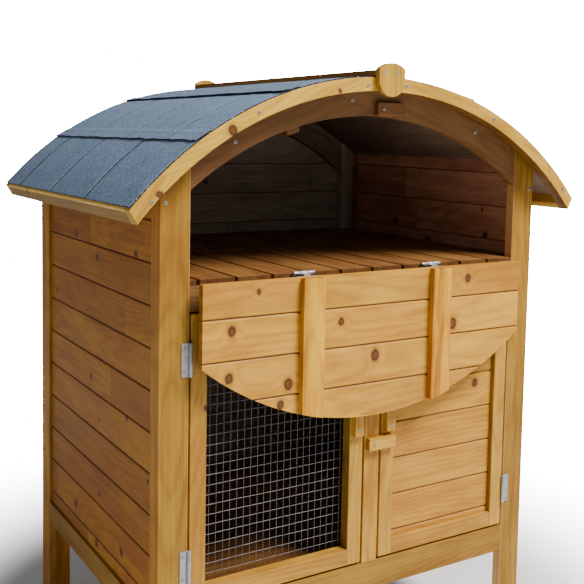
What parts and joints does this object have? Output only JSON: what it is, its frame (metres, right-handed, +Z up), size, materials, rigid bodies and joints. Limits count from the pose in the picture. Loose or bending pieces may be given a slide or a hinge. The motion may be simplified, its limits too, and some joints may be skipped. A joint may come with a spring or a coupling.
{
  "type": "animal hutch",
  "caption": "Two-storey wooden hutch with a barrel roof, a mesh door and a boarded door, and a half-moon loft flap that hangs open.",
  "frame": {"origin": "middle of the hutch's own outline, on the ground", "axes": "+X to the right across the front, +Y to the back, +Z up"},
  "size_m": [0.702, 0.5402, 0.868],
  "materials": {
    "frame_wood": "satin",
    "wall_wood": "satin",
    "floor_wood": "matte",
    "roof_felt": "matte",
    "zinc": "satin"
  },
  "bodies": {
    "hutch": {"front_stile_left": "frame_wood", "front_stile_right": "frame_wood", "side_post_front_left": "frame_wood", "side_post_front_right": "frame_wood", "side_post_rear_left": "frame_wood", "side_post_rear_right": "frame_wood", "back_stile_left": "wall_wood", "back_stile_right": "wall_wood", "bottom_rails": "wall_wood", "loft_rails": "wall_wood", "side_boards_left": "wall_wood", "side_boards_right": "wall_wood", "back_boards": "wall_wood", "front_arch_left": "frame_wood", "front_arch_right": "frame_wood", "back_arch": "wall_wood", "cage_floor": "floor_wood", "loft_slats": "floor_wood", "door_post": "frame_wood", "mesh_door_frame": "frame_wood", "mesh_upper": "zinc", "mesh_lower": "zinc", "solid_door_frame": "frame_wood", "solid_door_boards": "frame_wood", "hinge_plates": "zinc", "door_pulls": "frame_wood", "flap_stop": "frame_wood", "roof_deck": "floor_wood", "felt_low": "roof_felt", "felt_mid": "roof_felt", "felt_ridge": "roof_felt", "bargeboard_front_left": "frame_wood", "bargeboard_front_right": "frame_wood", "bargeboard_rear": "frame_wood", "eave_left": "frame_wood", "eave_right": "frame_wood", "ridge_board": "frame_wood", "finial_front": "frame_wood", "finial_rear": "frame_wood", "button_screws": "zinc"},
    "flap": {"flap_panel": "frame_wood", "flap_battens": "frame_wood", "flap_hinges": "zinc"},
    "crown_button": {"crown_button": "frame_wood"},
    "post_button": {"post_button": "frame_wood"}
  },
  "joints": [
    {"name": "flap_hinge", "type": "hinge", "parent": "hutch", "child": "flap", "pos_m": [0, -0.2325, 0.6], "axis": [-1, 0, 0], "range_deg": [0, 180]},
    {"name": "crown_button_pivot", "type": "hinge", "parent": "hutch", "child": "crown_button", "pos_m": [0.0125, -0.2285, 0.8105], "axis": [0, 1, 0], "range_deg": [0, 90]},
    {"name": "post_button_pivot", "type": "hinge", "parent": "hutch", "child": "post_button", "pos_m": [0.013, -0.2285, 0.358], "axis": [0, 1, 0], "range_deg": [0, 90]}
  ]
}
